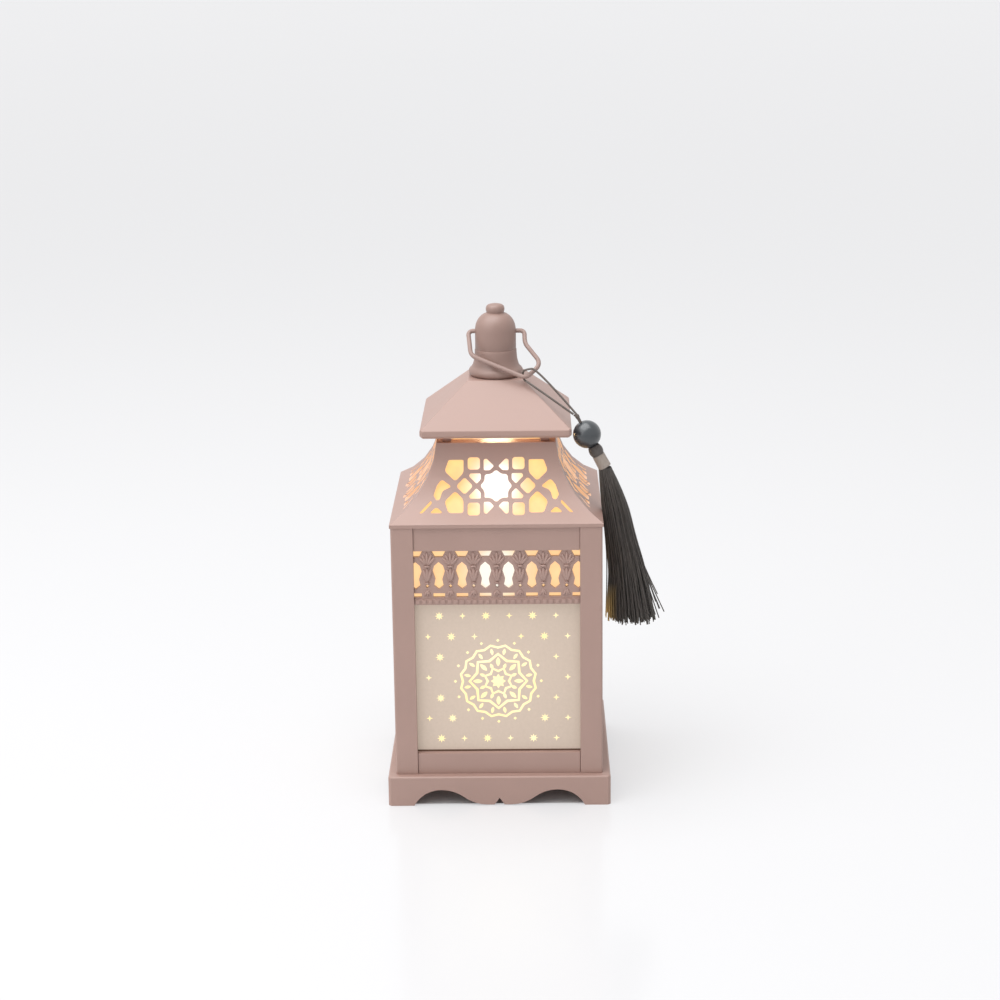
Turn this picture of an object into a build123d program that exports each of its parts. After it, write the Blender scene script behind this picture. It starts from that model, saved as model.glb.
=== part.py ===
from build123d import *
import os
from math import atan2, cos, degrees, hypot, pi, radians, sin, sqrt, tan

os.makedirs("parts", exist_ok=True)

# A small square table lantern: scalloped plinth, four corner posts, pierced panels with lit sheets behind
# them, a pierced flared roof, a cap, a bell finial with a swinging handle, and a tassel hung on the handle.
# Origin at the middle of the plinth's foot line, front towards -Y, all sizes in millimetres.

# Overall stack, from the floor up
plinth_width = 85.0
plinth_height = 11.8
body_width = 79.0
post_length = 97.9
roof_base_width = 79.7
roof_fascia = 1.3
roof_rise = 27.1
roof_top_width = 44.8
light_gap = 2.8
cap_width = 56.8
eave_height = 3.0
cap_rise = 15.5
cap_top_width = 21.2

# Clearances and the length by which a cut runs past a face
seat_gap = 0.1
slot_gap = 0.3
running_gap = 0.05
overrun = 1.0

# Plinth: a hollow moulding with a scalloped apron between four feet
skirt_wall = 2.6
plate_thickness = 2.2
plinth_corner = 1.0
plinth_edge = 0.5
foot_width = 9.8
arch_rise = 6.4
arch_shoulder = 10.4
apron_lift = 0.35
lobe_half = 4.6
notch_half = 1.9
notch_rise = 2.7
post_peg = 3.0

# Corner posts, grooved on two sides for the panels
post_width = 8.4
post_rounding = 0.8
groove_front = 1.9
groove_width = 2.2
groove_depth = 3.2

# Panels between the posts: how far each face is set back from the posts' faces
rail_setback = 0.6
dentil_setback = 0.8
band_setback = 1.3
top_rail_height = 9.1
band_height = 18.8
dentil_height = 2.25
bottom_rail_height = 8.3
tongue_thickness = 0.9
tongue_length = 2.8
sheet_thickness = 0.8
sheet_ledge = 2.0

# Pierced band: a row of vase openings with cups above, slots below and a bead hole between each pair
opening_count = 8
opening_pitch = 8.7
cup_top_width = 5.6
cup_foot_width = 2.9
cup_depth = 2.5
vase_top_drop = 4.4
vase_height = 10.7
bulb_half = 2.3
waist_half = 1.3
vase_foot_half = 1.8
bulb_height_share = 0.66
waist_height_share = 0.36
vase_foot_height_share = 0.13
slot_width = 4.4
slot_height = 1.6
slot_lift = 0.55
bead_hole = 1.5
bead_hole_lift = 4.9

# Flared roof shell with its pierced eight-fold star lattice
roof_wall = 1.8
roof_curve = 33.3
roof_flats = 5
roof_rib_depth = 3.0
roof_rib_thickness = 1.4
roof_flange_width = 5.9
lattice_lift = 11.6
lattice_tilt = 12.0
lattice_half_height = 9.8
star_radius = 6.2
lattice_rib = 1.4
square_radius = 11.85
square_half = 2.3
kite_blunt = 1.5
pentagon_shares = ((1.25, 0.50), (1.25, 1.0), (1.82, 1.0), (1.98, 0.57), (1.57, 0.18))
arrow_head_shares = ((2.09, 0.27), (1.70, -0.02), (2.06, -0.17))
arrow_shares = (*arrow_head_shares, (2.16, -0.50), (2.29, -0.53), (2.40, -0.34), (2.27, 0.03))
sliver_shares = ((2.49, -0.53), (2.45, -0.63), (2.81, -1.0), (2.94, -1.0))
corner_triangle_shares = ((2.28, -0.76), (2.02, -1.0), (2.55, -1.0))
liner_thickness = 0.6

# Cap
cap_wall = 1.8
cap_plate = 3.0
eave_rounding = 1.0
cap_leg = 3.4
cap_leg_inset = 2.3
cap_peg = 2.0

# Finial
spigot_radius = 2.9
spigot_length = 2.6
collar_radius = 10.4
collar_foot_radius = 9.4
collar_height = 3.4
flare_top = 10.2
bell_radius = 7.8
bell_step = 0.2
pivot_height = 17.0
dome_start = 17.6
dome_end = 24.0
knob_radius = 3.6
knob_height = 3.5
knob_rounding = 1.2

# Handle: a bent wire, folded to the front, its loop pulled over to the right
wire_radius = 0.85
pin_depth = 3.2
handle_tilt = 41.0
handle_drop = 20.7
shoulder_out = 2.6
elbow_out = 3.2
handle_point_shares = ((-0.449, 0.517), (0.551, 1.0), (0.841, 0.705), (0.541, 0.271))
handle_radius_shares = (0.08, 0.19, 0.145, 0.174, 0.29, 0.08)

# Tassel: a cord loop round the handle, a bead, a wrapped head, a binding and a skirt of strands
cord_radius = 0.4
strand_offset = 0.45
join_radius = 0.8
join_lift = 2.75
join_gap = 0.5
tail_radius = 0.7
bead_radius = 5.3
bead_flat = 5.1
bead_centre = Vector(34.26, -20.0, 140.4)
bead_axis = Vector(-0.47, 0.05, 0.881).normalized()
head_radius = 2.7
head_neck_radius = 2.2
head_length = 4.0
binding_radius = 2.5
binding_length = 5.2
skirt_places = ((44.3, -20.9, 115.5), (46.8, -20.9, 100.8), (49.5, -20.9, 86.1), (50.9, -20.9, 66.8))
skirt_half_widths = (4.3, 6.1, 7.6, 9.0)
skirt_depth_share = 0.72

# Battery bay, door, switch and lamp
cell_diameter = 10.5
cell_length = 44.5
cell_count = 3
cell_gap = 0.6
contact_room = 3.2
contact_thickness = 0.4
contact_width = 6.5
contact_height = 8.0
box_wall = 1.4
door_thickness = 1.6
door_pin_radius = 0.55
door_pin_length = 1.5
door_pull_width = 12.0
door_pull_depth = 0.8
door_pull_length = 4.0
switch_offset = 26.5
switch_length = 12.0
switch_width = 6.4
switch_height = 5.0
switch_cavity = 2.2
slider_base_length = 5.2
slider_base_width = 3.4
slider_base_height = 1.6
slider_stem_length = 3.2
slider_stem_width = 2.4
slider_reach = 1.2
switch_travel = 3.5
lamp_radius = 6.5
lamp_wall = 0.8
lamp_length = 86.0
lamp_ring_wall = 1.6
lamp_ring_height = 5.0
board_width = 7.0
board_thickness = 1.2
board_length = 84.0
socket_wall = 1.3
socket_height = 3.0
chip_length = 3.5
chip_width = 2.8
chip_height = 1.0
chip_count = 4
chip_pitch = 20.0
lead_width = 2.6
lead_thickness = 1.2
lead_rise = 4.2
lead_bend = 2.0

# Places that follow from the sizes above
post_half = body_width / 2
window_half = post_half - post_width
plate_bottom = plinth_height - plate_thickness
roof_seat = plinth_height + post_length
roof_top = roof_seat + roof_fascia + roof_rise
cap_bottom = roof_top + light_gap
cap_shoulder = cap_bottom + eave_height
cap_top = cap_shoulder + cap_rise
groove_outer = post_half - groove_front
groove_inner = groove_outer - groove_width
panel_half = window_half - seat_gap
rail_face = post_half - rail_setback
panel_back = groove_outer - seat_gap - tongue_thickness
sheet_face = panel_back - seat_gap
band_top = roof_seat - top_rail_height
band_bottom = band_top - band_height
peg_place = (window_half + groove_inner) / 2
pivot_level = cap_top + pivot_height
corner_names = ("front_right", "rear_right", "rear_left", "front_left")
side_names = ("front", "right", "rear", "left")


def level(height, turn=0):
    """A horizontal work plane at a height, turned about the lantern's axis."""
    return Plane((0, 0, height), x_dir=Vector(1, 0, 0).rotate(Axis.Z, turn), z_dir=(0, 0, 1))


def side(turn, distance=0):
    """An upright work plane that faces out of one side, at a distance from the axis."""
    across = Vector(1, 0, 0).rotate(Axis.Z, turn)
    outward = Vector(0, -1, 0).rotate(Axis.Z, turn)
    return Plane(outward * distance, x_dir=across, z_dir=outward)


def chords(arc, count):
    """Evenly spaced points along an arc, its ends with them."""
    return [arc @ (step / count) for step in range(count + 1)]


def turned(foot, outline, sides):
    """A many-sided turned form: one tapered ring for each slope of an outline of radius and height."""
    flat_share = cos(radians(180 / sides))
    with BuildPart() as form:
        for slope in zip(outline, outline[1:]):
            (narrow, narrow_height), (wide, wide_height) = sorted(slope)
            rise = abs(narrow_height - wide_height)
            facing = foot.z_dir if narrow_height > wide_height else -foot.z_dir
            with BuildSketch(Plane(foot.offset(wide_height).origin, x_dir=foot.x_dir, z_dir=facing)):
                RegularPolygon(wide, sides)
            extrude(amount=rise, taper=degrees(atan2((wide - narrow) * flat_share, rise)))
    return form.part


def finish(piece, name):
    """Label one finished piece and write it."""
    piece.part.label = name
    export_step(piece.part, f"parts/{name}.step")


# Plinth: outer block, hollow underside, scalloped apron on all four sides
foot_edge = plinth_width / 2 - foot_width
crown = (foot_edge - arch_shoulder, arch_rise)
lobe = (lobe_half, apron_lift)
waver = ((crown[0] + lobe[0]) / 2, (crown[1] + lobe[1]) / 2)
arch_line = chords(TangentArc(crown, (foot_edge, 0), tangent=(1, 0)), 6)
crown_line = chords(TangentArc(crown, waver, tangent=(-1, 0)), 4)
lobe_line = chords(TangentArc(lobe, waver, tangent=(1, 0)), 4)
with BuildPart() as plinth:
    with BuildSketch() as plinth_outline:
        Rectangle(plinth_width, plinth_width)
        chamfer(plinth_outline.vertices(), plinth_corner)
    extrude(amount=plinth_height)
    chamfer(plinth.faces().sort_by(Axis.Z)[-1].edges(), plinth_edge)
    with BuildSketch():
        Rectangle(plinth_width - 2 * skirt_wall, plinth_width - 2 * skirt_wall)
    extrude(amount=plate_bottom, mode=Mode.SUBTRACT)
    notch_tip = (0, apron_lift + notch_rise)
    for turn in (0, 90):
        with BuildSketch(side(turn)):
            Polygon(
                (0, -overrun),
                (foot_edge, -overrun),
                *arch_line[::-1],
                *crown_line[1:],
                *lobe_line[-2::-1],
                (notch_half, apron_lift),
                notch_tip,
                align=None,
            )
            mirror(about=Plane.YZ)
        extrude(amount=plinth_width, both=True, mode=Mode.SUBTRACT)
    # Peg holes for the posts, then the battery opening, its pin holes and the switch slot
    bay_length = cell_length + 2 * contact_room
    bay_width = cell_count * (cell_diameter + cell_gap) + cell_gap
    with BuildSketch(level(plate_bottom - overrun)):
        with GridLocations(2 * peg_place, 2 * peg_place, 2, 2):
            Rectangle(post_peg + 2 * seat_gap, post_peg + 2 * seat_gap)
        Rectangle(bay_length, bay_width)
        with Locations((0, switch_offset)):
            Rectangle(slider_stem_length + switch_travel + 2 * slot_gap, slider_stem_width + 2 * seat_gap)
    extrude(amount=plate_thickness + 2 * overrun, mode=Mode.SUBTRACT)
    door_pin_x = -bay_length / 2 + slot_gap + door_thickness / 2
    door_pin_z = plate_bottom + door_thickness / 2
    door_pin_span = bay_width + 2 * (door_pin_length + seat_gap)
    with BuildSketch(side(0, -door_pin_span / 2)):
        with Locations((door_pin_x, door_pin_z)):
            Circle(door_pin_radius + running_gap)
    extrude(amount=door_pin_span, mode=Mode.SUBTRACT)
finish(plinth, "plinth")

# Battery door, pivoting on two pins at its left end
with BuildPart() as battery_door:
    door_half_length = bay_length / 2 - slot_gap
    door_width = bay_width - 2 * slot_gap
    with BuildSketch(side(0, -door_width / 2)):
        with BuildLine():
            bull = door_thickness / 2
            low, high = plate_bottom, plate_bottom + door_thickness
            ThreePointArc((door_pin_x, high), (door_pin_x - bull, door_pin_z), (door_pin_x, low))
            Polyline((door_pin_x, low), (door_half_length, low), (door_half_length, high), (door_pin_x, high))
        make_face()
    extrude(amount=door_width)
    with BuildSketch(side(0, -door_width / 2 - slot_gap - door_pin_length)):
        with Locations((door_pin_x, door_pin_z)):
            Circle(door_pin_radius)
    extrude(amount=door_width + 2 * (slot_gap + door_pin_length))
    with Locations((door_half_length, 0, low)):
        Box(2 * door_pull_length, door_pull_width, 2 * door_pull_depth, mode=Mode.SUBTRACT)
finish(battery_door, "battery_door")

# Battery box over the plate's opening, with the lamp's ring and the board's socket on its roof
cell_level = plate_bottom + door_thickness + slot_gap + cell_diameter / 2
box_top = cell_level + cell_diameter / 2 + slot_gap + box_wall
lamp_ring_width = 2 * (lamp_radius + seat_gap + lamp_ring_wall)
with BuildPart() as battery_box:
    with BuildSketch(level(plinth_height)):
        Rectangle(bay_length + 2 * box_wall, bay_width + 2 * box_wall)
    extrude(amount=box_top - plinth_height)
    with BuildSketch(level(plinth_height)):
        Rectangle(bay_length, bay_width)
    extrude(amount=box_top - box_wall - plinth_height, mode=Mode.SUBTRACT)
    with BuildSketch(level(box_top)):
        Rectangle(lamp_ring_width, lamp_ring_width)
        Rectangle(2 * (lamp_radius + seat_gap), 2 * (lamp_radius + seat_gap), mode=Mode.SUBTRACT)
    extrude(amount=lamp_ring_height)
    with BuildSketch(level(box_top)):
        Rectangle(board_width + 2 * (seat_gap + socket_wall), board_thickness + 2 * (seat_gap + socket_wall))
        Rectangle(board_width + 2 * seat_gap, board_thickness + 2 * seat_gap, mode=Mode.SUBTRACT)
    extrude(amount=socket_height)
finish(battery_box, "battery_box")

# Three cells side by side
cell_row = cell_diameter + cell_gap
with BuildPart() as battery_cells:
    for index in range(cell_count):
        row = (index - (cell_count - 1) / 2) * cell_row
        with BuildSketch(Plane((-cell_length / 2, row, cell_level), z_dir=(1, 0, 0))):
            RegularPolygon(cell_diameter / 2, 20)
        extrude(amount=cell_length)
finish(battery_cells, "battery_cells")

# Leaf contacts at both ends of each cell
with BuildPart() as battery_contacts:
    for end in (-1, 1):
        wall_x = end * (bay_length / 2 - contact_thickness / 2)
        tip_x = end * (cell_length / 2 + seat_gap + contact_thickness / 2)
        for index in range(cell_count):
            row = (index - (cell_count - 1) / 2) * cell_row
            with BuildSketch(Plane((0, row, 0), x_dir=(1, 0, 0), z_dir=(0, -1, 0))):
                with BuildLine():
                    Polyline(
                        (wall_x, cell_level + contact_height / 2),
                        (wall_x, cell_level - contact_height / 2),
                        (tip_x, cell_level),
                    )
                trace(line_width=contact_thickness)
            extrude(amount=contact_width / 2, both=True)
finish(battery_contacts, "battery_contacts")

# Slide switch body on the plate, behind the battery box
with BuildPart() as switch_body:
    with BuildSketch(level(plinth_height)):
        with Locations((0, switch_offset)):
            Rectangle(switch_length, switch_width)
    extrude(amount=switch_height)
    with BuildSketch(level(plinth_height)):
        with Locations((0, switch_offset)):
            Rectangle(slider_base_length + switch_travel + 2 * slot_gap, slider_base_width + 2 * slot_gap)
    extrude(amount=switch_cavity, mode=Mode.SUBTRACT)
finish(switch_body, "switch_body")

# Switch slider at the on end of its travel
with BuildPart() as switch_slider:
    slider_x = -switch_travel / 2
    with BuildSketch(level(plinth_height + seat_gap)):
        with Locations((slider_x, switch_offset)):
            Rectangle(slider_base_length, slider_base_width)
    extrude(amount=slider_base_height)
    with BuildSketch(level(plate_bottom - slider_reach)):
        with Locations((slider_x, switch_offset)):
            Rectangle(slider_stem_length, slider_stem_width)
    extrude(amount=plate_thickness + slider_reach + 2 * seat_gap)
finish(switch_slider, "switch_slider")

# Flat twin lead from the switch to the battery box
with BuildPart() as switch_lead:
    lead_start = Vector(0, switch_offset, plinth_height + switch_height)
    lead_turn = lead_start + Vector(0, 0, lead_rise)
    lead_end = Vector(0, bay_width / 2 + box_wall, lead_turn.Z)
    with BuildLine() as lead_route:
        FilletPolyline(lead_start, lead_turn, lead_end, radius=lead_bend)
    with BuildSketch(level(lead_start.Z)):
        with Locations((0, switch_offset)):
            Rectangle(lead_width, lead_thickness)
    sweep(path=lead_route.wires()[0])
finish(switch_lead, "switch_lead")

# Lamp: a strip board with light chips on both faces, under a frosted tube
with BuildPart() as lamp_board:
    with BuildSketch(level(box_top)):
        Rectangle(board_width, board_thickness)
    extrude(amount=board_length)
finish(lamp_board, "lamp_board")

with BuildPart() as lamp_chips:
    chip_middle = box_top + board_length - chip_pitch * (chip_count - 1) / 2 - chip_length
    for turn in (0, 180):
        with BuildSketch(side(turn, board_thickness / 2)):
            with Locations((0, chip_middle)):
                with GridLocations(chip_pitch, chip_pitch, 1, chip_count):
                    Rectangle(chip_width, chip_length)
        extrude(amount=chip_height)
finish(lamp_chips, "lamp_chips")

with BuildPart() as lamp_tube:
    with BuildSketch(level(box_top)):
        RegularPolygon(lamp_radius, 24)
    extrude(amount=lamp_length)
    with BuildSketch(level(box_top)):
        RegularPolygon(lamp_radius - lamp_wall, 24)
    extrude(amount=lamp_length - lamp_wall, mode=Mode.SUBTRACT)
finish(lamp_tube, "lamp_tube")

# Corner posts: square, rounded outside, grooved for the panels, with a peg that fits the plinth
for index, corner in enumerate(corner_names):
    turn = 90 * index
    with BuildPart() as post:
        middle = post_half - post_width / 2
        groove_x = window_half + groove_depth / 2
        groove_y = (groove_outer + groove_inner) / 2
        with BuildSketch(level(plinth_height, turn)) as post_section:
            with Locations((middle, -middle)):
                Rectangle(post_width, post_width)
            with Locations((groove_x, -groove_y)):
                Rectangle(groove_depth, groove_width, mode=Mode.SUBTRACT)
            with Locations((groove_y, -groove_x)):
                Rectangle(groove_width, groove_depth, mode=Mode.SUBTRACT)
        extrude(amount=post_length)
        post_middle = (0, 0, plinth_height + post_length / 2)
        outer_edge = post.edges().filter_by(Axis.Z).sort_by_distance(post_middle)[-1]
        fillet(outer_edge, post_rounding)
        with BuildSketch(level(plate_bottom + seat_gap, turn)):
            with Locations((peg_place, -peg_place)):
                Rectangle(post_peg, post_peg)
        extrude(amount=plate_thickness + seat_gap)
    finish(post, f"corner_post_{corner}")

# Openings of the pierced band, drawn about the middle of one opening at the height of the band's foot
with BuildSketch() as cup_opening:
    cup_low = band_height - cup_depth
    cup_foot, cup_lip = cup_foot_width / 2, cup_top_width / 2
    cup_corners = ((cup_foot, cup_low), (cup_lip, band_height), (-cup_lip, band_height), (-cup_foot, cup_low))
    Polygon(*cup_corners, align=None)

vase_top = band_height - vase_top_drop
vase_low = vase_top - vase_height
bulb = (bulb_half, vase_low + bulb_height_share * vase_height)
waist = (waist_half, vase_low + waist_height_share * vase_height)
vase_foot = (vase_foot_half, vase_low + vase_foot_height_share * vase_height)
vase_shoulder = chords(TangentArc(bulb, (0, vase_top), tangent=(0, 1)), 2)
with BuildSketch() as vase_opening:
    Polygon((0, vase_low), vase_foot, waist, *vase_shoulder, align=None)
    mirror(about=Plane.YZ)

with BuildSketch() as foot_slot:
    with Locations((0, slot_lift + slot_height / 2)):
        Rectangle(slot_width, slot_height)

# Pierced panels: top rail, band and dentil strip in one moulding, tongued into the posts' grooves
for index, name in enumerate(side_names):
    turn = 90 * index
    with BuildPart() as panel:
        panel_low = band_bottom - dentil_height
        rows = (
            (panel_low, band_bottom, post_half - dentil_setback),
            (band_bottom, band_top, post_half - band_setback),
            (band_top, roof_seat - seat_gap, rail_face),
        )
        for low, high, face in rows:
            with BuildSketch(side(turn, panel_back)):
                with Locations((0, (low + high) / 2)):
                    Rectangle(2 * panel_half, high - low)
            extrude(amount=face - panel_back)
        with BuildSketch(side(turn, panel_back)):
            with Locations((0, (panel_low + roof_seat - seat_gap) / 2)):
                Rectangle(2 * (window_half + tongue_length), roof_seat - seat_gap - panel_low)
        extrude(amount=tongue_thickness)
        with BuildSketch(side(turn, panel_back - overrun)):
            with Locations((0, band_bottom)):
                with GridLocations(opening_pitch, opening_pitch, opening_count, 1):
                    add(cup_opening.sketch)
                    add(vase_opening.sketch)
                    add(foot_slot.sketch)
            with Locations((0, band_bottom + bead_hole_lift)):
                with GridLocations(opening_pitch, opening_pitch, opening_count - 1, 1):
                    RegularPolygon(bead_hole / 2, 4)
        extrude(amount=post_half, mode=Mode.SUBTRACT)
    finish(panel, f"pierced_panel_{name}")

# Bottom rails, with a ledge behind on which the sheet stands
for index, name in enumerate(side_names):
    turn = 90 * index
    with BuildPart() as rail:
        with BuildSketch(side(turn, panel_back)):
            with Locations((0, plinth_height + bottom_rail_height / 2)):
                Rectangle(2 * panel_half, bottom_rail_height)
        extrude(amount=rail_face - panel_back)
        with BuildSketch(side(turn, panel_back)):
            with Locations((0, plinth_height + bottom_rail_height / 2)):
                Rectangle(2 * (window_half + tongue_length), bottom_rail_height)
        extrude(amount=tongue_thickness)
        with BuildSketch(side(turn, groove_inner)):
            with Locations((0, plinth_height + sheet_ledge / 2)):
                Rectangle(2 * panel_half, sheet_ledge)
        extrude(amount=panel_back - groove_inner)
    finish(rail, f"bottom_rail_{name}")

# Lit sheets: one to a side, standing in the grooves behind the band and the window
sheet_half = window_half + groove_depth - slot_gap
sheet_low = plinth_height + sheet_ledge
sheet_high = roof_seat - slot_gap
for index, name in enumerate(side_names):
    with BuildPart() as sheet:
        with BuildSketch(side(90 * index, sheet_face - sheet_thickness)):
            with Locations((0, (sheet_low + sheet_high) / 2)):
                Rectangle(2 * sheet_half, sheet_high - sheet_low)
        extrude(amount=sheet_thickness)
    finish(sheet, f"lit_sheet_{name}")

# Flared roof: each side follows one hollow arc, laid in flats
base_half = roof_base_width / 2
top_half = roof_top_width / 2
curve_foot = roof_seat + roof_fascia
curve_run = base_half - top_half
chord = hypot(curve_run, roof_rise)
curve_throw = sqrt(roof_curve**2 - (chord / 2) ** 2)
curve_x = (base_half + top_half) / 2 + curve_throw * roof_rise / chord
curve_z = curve_foot + roof_rise / 2 + curve_throw * curve_run / chord
curve_start = atan2(curve_z - curve_foot, curve_x - base_half)
curve_end = atan2(curve_z - roof_top, curve_x - top_half)
flat_turn = (curve_end - curve_start) / roof_flats


def flared_block(inset, low, high):
    """The solid inside the four hollow roof faces, drawn in by an inset, between two heights."""
    radius = roof_curve + inset / cos(flat_turn / 2)
    angles = [curve_start + step * flat_turn for step in range(-1, roof_flats + 2)]
    edge = [(curve_x - radius * cos(angle), curve_z - radius * sin(angle)) for angle in angles]
    with BuildPart() as block:
        for turn, mode in ((0, Mode.ADD), (90, Mode.INTERSECT)):
            with BuildSketch(side(turn)):
                Polygon(*edge, *[(-x, z) for x, z in reversed(edge)], align=None)
                if low < curve_foot:
                    with Locations((0, (low + curve_foot) / 2)):
                        Rectangle(roof_base_width - 2 * inset, curve_foot - low)
                with Locations((0, (low + high) / 2)):
                    Rectangle(roof_base_width, high - low, mode=Mode.INTERSECT)
            extrude(amount=base_half, both=True, mode=mode)
    return block.part


def lattice_plane(turn):
    """The plane of one roof side's lattice, leaned back from upright, through the middle of its star."""
    lift = curve_foot + lattice_lift
    out = curve_x - sqrt(roof_curve**2 - (curve_z - lift) ** 2)
    across = Vector(1, 0, 0).rotate(Axis.Z, turn)
    facing = Vector(0, -cos(radians(lattice_tilt)), sin(radians(lattice_tilt))).rotate(Axis.Z, turn)
    return Plane(Vector(0, -out, lift).rotate(Axis.Z, turn), x_dir=across, z_dir=facing)


# The lattice: a star of two squares, a ring of kites, a ring of squares, then pentagons and corner cells
with BuildSketch() as lattice:
    RegularPolygon(star_radius, 4)
    RegularPolygon(star_radius, 4, rotation=45)
    near = star_radius / sqrt(2) + lattice_rib
    far = square_radius / sqrt(2) - square_half - lattice_rib
    kite_side = Vector(near, far)
    kite_tip = Vector(far * (1 + sqrt(2)), far)
    kite_inner = Vector(near, near * (sqrt(2) - 1))
    kite_flank = Vector((near + far) / sqrt(2), (near - far) / sqrt(2))
    blunt = kite_blunt / (kite_tip - kite_side).length
    kite_end = kite_tip + (kite_side - kite_tip) * blunt
    kite_end_flank = kite_tip + (kite_flank - kite_tip) * blunt
    with PolarLocations(0, 8):
        Polygon(kite_inner, kite_flank, kite_end_flank, kite_end, kite_side, align=None)
    for start in (-45, 135):
        with PolarLocations(square_radius, 3, start, 90, endpoint=True):
            RegularPolygon(square_half * sqrt(2), 4)
    for shares in (pentagon_shares, arrow_shares, sliver_shares, corner_triangle_shares):
        corners = [(x * lattice_half_height, y * lattice_half_height) for x, y in shares]
        cell = Polygon(*corners, align=None)
        mirror(cell, about=Plane.YZ)
        if shares is pentagon_shares:
            lower = mirror(cell, about=Plane.XZ)
            mirror(lower, about=Plane.YZ)

roof_void = flared_block(roof_wall, roof_seat + roof_wall, roof_top - roof_wall)
roof_block = flared_block(0, roof_seat, roof_top)
rib_inner = groove_inner - roof_rib_thickness
leg_place = top_half - cap_leg_inset - cap_leg / 2
with BuildPart() as flared_roof:
    add(roof_block)
    add(roof_void, mode=Mode.SUBTRACT)
    with BuildSketch(level(roof_seat - overrun)):
        Rectangle(2 * rib_inner, 2 * rib_inner)
    extrude(amount=roof_wall + 2 * overrun, mode=Mode.SUBTRACT)
    with BuildSketch(level(roof_top + overrun)):
        Rectangle(roof_top_width - 2 * roof_flange_width, roof_top_width - 2 * roof_flange_width)
        with GridLocations(2 * leg_place, 2 * leg_place, 2, 2):
            Rectangle(cap_peg + 2 * seat_gap, cap_peg + 2 * seat_gap)
    extrude(amount=-roof_wall - 2 * overrun, mode=Mode.SUBTRACT)
    for index in range(4):
        with BuildSketch(side(90 * index, rib_inner)):
            with Locations((0, roof_seat - roof_rib_depth / 2)):
                Rectangle(2 * (window_half - slot_gap), roof_rib_depth)
        extrude(amount=roof_rib_thickness)
        with BuildSketch(lattice_plane(90 * index)):
            add(lattice.sketch)
        extrude(amount=lattice_half_height, both=True, mode=Mode.SUBTRACT)
finish(flared_roof, "flared_roof")

# Roof liner: a thin formed sheet behind the lattice, standing on the roof's base flange
liner_inset = roof_wall + seat_gap
liner_low = roof_seat + roof_wall
liner_high = roof_top - roof_wall - seat_gap
liner_block = flared_block(liner_inset, liner_low, liner_high)
liner_void = flared_block(liner_inset + liner_thickness, liner_low - overrun, liner_high + overrun)
with BuildPart() as roof_liner:
    add(liner_block)
    add(liner_void, mode=Mode.SUBTRACT)
finish(roof_liner, "roof_liner")

# Cap: eave with eased edges, four slopes, hollow below, on four legs that peg into the roof's top flange
cap_half = cap_width / 2
cap_crest = cap_top_width / 2
slope = cap_rise / (cap_half - cap_crest)
slope_drop = cap_wall * hypot(1, slope)
void_half = cap_half - cap_wall
void_top = cap_top - cap_plate
void_shoulder = cap_shoulder + slope * cap_wall - slope_drop
void_crest = void_half - (void_top - void_shoulder) / slope
leg_top = cap_shoulder + slope * (cap_half - leg_place - cap_leg / 2) - slope_drop / 2


def hipped_block(foot_half, crest_half, low, shoulder, high):
    """A square block with upright sides up to a shoulder and four slopes above it."""
    outline = ((foot_half, low), (foot_half, shoulder), (crest_half, high))
    with BuildPart() as block:
        for turn, mode in ((0, Mode.ADD), (90, Mode.INTERSECT)):
            with BuildSketch(side(turn)):
                Polygon(*outline, *[(-x, z) for x, z in reversed(outline)], align=None)
            extrude(amount=foot_half, both=True, mode=mode)
    return block.part


cap_block = hipped_block(cap_half, cap_crest, cap_bottom, cap_shoulder, cap_top)
cap_void = hipped_block(void_half, void_crest, cap_bottom - overrun, void_shoulder, void_top)
with BuildPart() as cap:
    add(cap_block)
    chamfer(cap.edges().filter_by(Axis.Z), eave_rounding)
    chamfer(cap.faces().sort_by(Axis.Z)[0].edges(), eave_rounding)
    add(cap_void, mode=Mode.SUBTRACT)
    with BuildSketch(level(void_top - overrun)):
        Circle(spigot_radius + seat_gap)
    extrude(amount=cap_plate + 2 * overrun, mode=Mode.SUBTRACT)
    with BuildSketch(level(roof_top)):
        with GridLocations(2 * leg_place, 2 * leg_place, 2, 2):
            Rectangle(cap_leg, cap_leg)
    extrude(amount=leg_top - roof_top)
    with BuildSketch(level(roof_top - roof_wall)):
        with GridLocations(2 * leg_place, 2 * leg_place, 2, 2):
            Rectangle(cap_peg, cap_peg)
    extrude(amount=roof_wall)
finish(cap, "cap")

# Finial: collar, flare, bell, dome and knob turned as one piece, with two holes for the handle's ends
flare_radius = bell_radius + bell_step
knob_top = dome_end + knob_height
collar_middle = (collar_radius, collar_height / 2)
collar_arc = ThreePointArc((collar_foot_radius, 0), collar_middle, (collar_foot_radius, collar_height))
flare_arc = TangentArc((flare_radius, flare_top), (collar_foot_radius, collar_height), tangent=(0, -1))
dome_arc = TangentArc((bell_radius, dome_start), (knob_radius, dome_end), tangent=(0, 1))
finial_outline = [
    *chords(collar_arc, 3),
    *chords(flare_arc, 3)[-2::-1],
    (bell_radius, flare_top + bell_step),
    *chords(dome_arc, 4),
    (knob_radius, knob_top - knob_rounding),
    (knob_radius - knob_rounding, knob_top),
]
finial_outline = [(point[0], point[1]) for point in map(tuple, finial_outline)]
finial_block = turned(level(cap_top), finial_outline, 24)
with BuildPart() as finial:
    add(finial_block)
    with BuildSketch(level(cap_top - spigot_length)):
        RegularPolygon(spigot_radius, 16)
    extrude(amount=spigot_length)
    for turn in (90, 270):
        with BuildSketch(side(turn, bell_radius - pin_depth - slot_gap)):
            with Locations((0, pivot_level)):
                Circle(wire_radius + running_gap)
        extrude(amount=pin_depth + slot_gap + overrun, mode=Mode.SUBTRACT)
finish(finial, "finial")

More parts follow.
